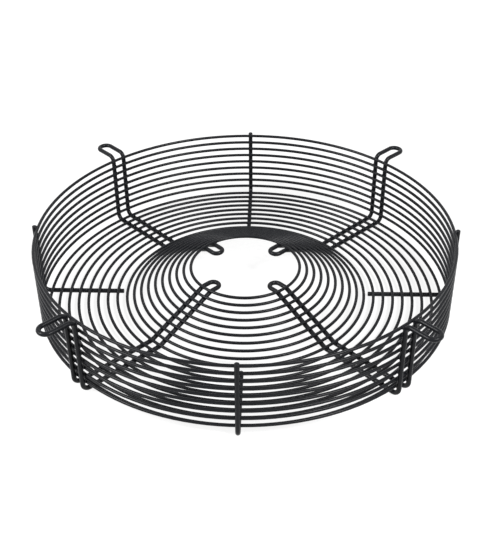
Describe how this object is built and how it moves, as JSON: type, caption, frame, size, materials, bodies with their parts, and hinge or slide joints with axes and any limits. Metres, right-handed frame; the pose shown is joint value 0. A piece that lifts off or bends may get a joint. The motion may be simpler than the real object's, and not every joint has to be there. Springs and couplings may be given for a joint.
{
  "type": "wire fan guard",
  "caption": "Round basket guard for an axial fan, welded from black wire rings on hairpin spokes, with a raised conical middle and looped fixing eyes.",
  "frame": {"origin": "on the guard's axis, in the plane of the underside that it rests on", "axes": "+Z along the axis towards the open rim; +X and +Y through the single stays, with the hairpin spokes between them; -Y faces the picture's viewer"},
  "size_m": [0.414, 0.414, 0.0819],
  "materials": {
    "coated_wire": "satin black plastic powder coat on round steel wire"
  },
  "bodies": {
    "root": {"wall_ring_1": "coated_wire", "wall_ring_2": "coated_wire", "wall_ring_3": "coated_wire", "wall_ring_4": "coated_wire", "wall_ring_5": "coated_wire", "wall_ring_6": "coated_wire", "wall_ring_7": "coated_wire", "wall_ring_8": "coated_wire", "wall_ring_9": "coated_wire", "floor_ring_1": "coated_wire", "floor_ring_2": "coated_wire", "floor_ring_3": "coated_wire", "floor_ring_4": "coated_wire", "floor_ring_5": "coated_wire", "floor_ring_6": "coated_wire", "floor_ring_7": "coated_wire", "floor_ring_8": "coated_wire", "floor_ring_9": "coated_wire", "cone_ring_1": "coated_wire", "cone_ring_2": "coated_wire", "cone_ring_3": "coated_wire", "cone_ring_4": "coated_wire", "cone_ring_5": "coated_wire", "cone_ring_6": "coated_wire", "cone_ring_7": "coated_wire", "cone_ring_8": "coated_wire", "cone_ring_9": "coated_wire", "spoke_rear_right": "coated_wire", "spoke_rear_left": "coated_wire", "spoke_front_left": "coated_wire", "spoke_front_right": "coated_wire", "stay_right": "coated_wire", "stay_rear": "coated_wire", "stay_left": "coated_wire", "stay_front": "coated_wire"}
  },
  "joints": []
}
